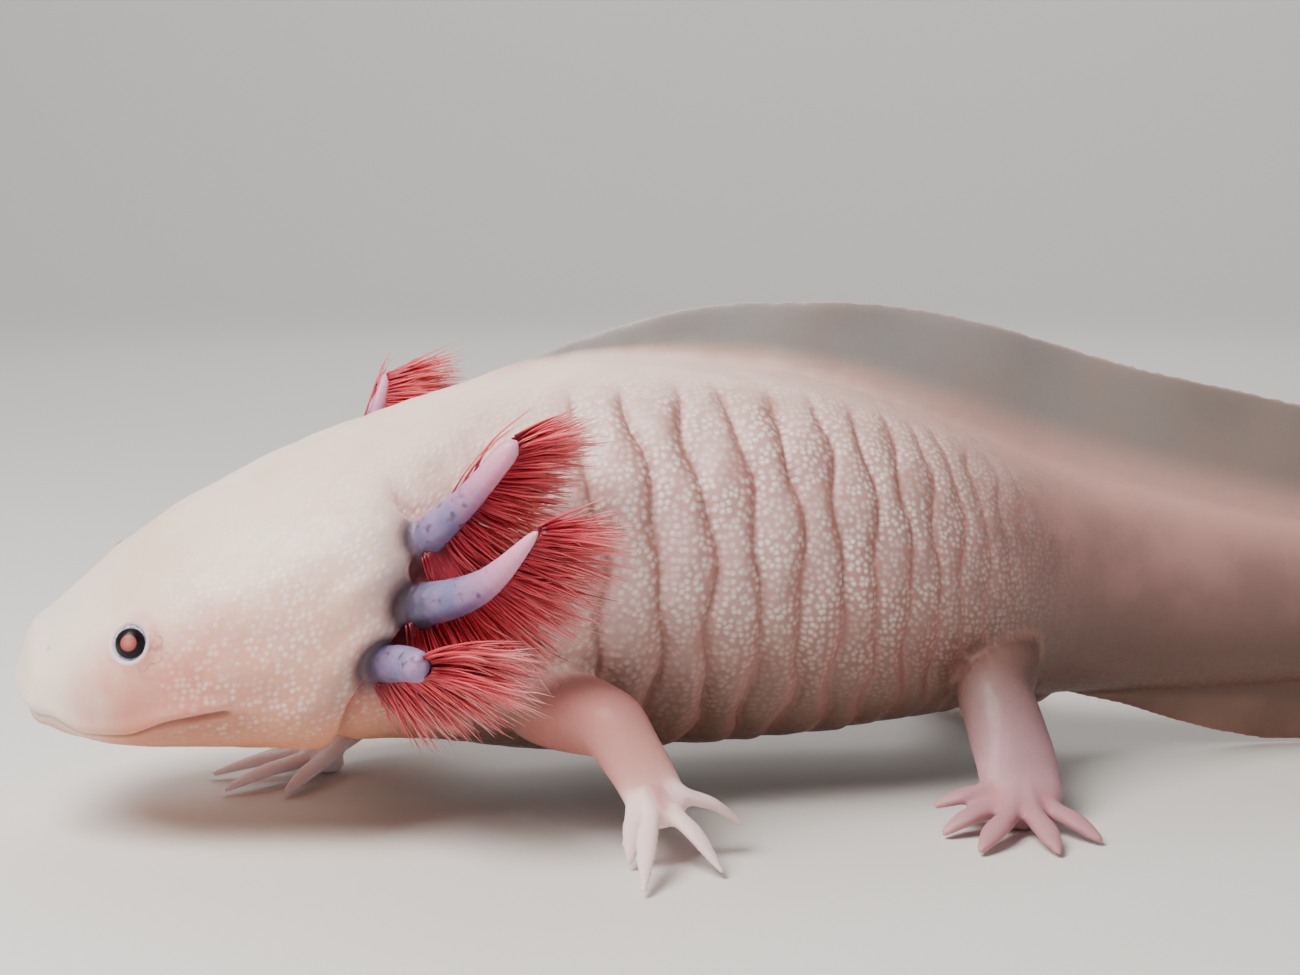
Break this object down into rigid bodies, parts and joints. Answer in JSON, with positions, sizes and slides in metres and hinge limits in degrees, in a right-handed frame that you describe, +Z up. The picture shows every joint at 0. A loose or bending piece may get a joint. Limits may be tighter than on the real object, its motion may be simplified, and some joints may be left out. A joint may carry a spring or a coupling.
{
  "type": "axolotl",
  "caption": "Still, life-size pale pink axolotl standing on all fours, with feathery crimson gills, ribbed flanks and a tall thin fin along back and tail.",
  "frame": {"origin": "middle of the animal's box at floor level, under the feet", "axes": "+X from the snout to the tail tip, +Y to the animal's right side, +Z up; the floor is Z 0"},
  "size_m": [0.2408, 0.0912, 0.0609],
  "materials": {
    "skin": "moist pale pink skin, satin",
    "fin": "thin translucent fin, satin",
    "limb": "moist pink skin, satin",
    "gill_stalk": "moist pale lavender skin, satin",
    "gill_filament": "crimson, translucent, satin",
    "eye": "wet, glossy"
  },
  "bodies": {
    "root": {"head": "skin", "lower_jaw": "skin", "neck": "skin", "trunk": "skin", "tail_base": "skin", "tail_middle": "skin", "tail_tip": "skin", "dorsal_fin": "fin", "tail_fin_upper": "fin", "tail_fin_lower": "fin", "eye_left": "eye", "eye_right": "eye", "upper_arm_left": "limb", "forearm_left": "limb", "hand_left": "limb", "thigh_left": "limb", "shank_left": "limb", "foot_left": "limb", "gill_stalk_left_1": "gill_stalk", "gill_fringe_left_1": "gill_filament", "gill_stalk_left_2": "gill_stalk", "gill_fringe_left_2": "gill_filament", "gill_stalk_left_3": "gill_stalk", "gill_fringe_left_3": "gill_filament", "upper_arm_right": "limb", "forearm_right": "limb", "hand_right": "limb", "thigh_right": "limb", "shank_right": "limb", "foot_right": "limb", "gill_stalk_right_1": "gill_stalk", "gill_fringe_right_1": "gill_filament", "gill_stalk_right_2": "gill_stalk", "gill_fringe_right_2": "gill_filament", "gill_stalk_right_3": "gill_stalk", "gill_fringe_right_3": "gill_filament"}
  },
  "joints": []
}
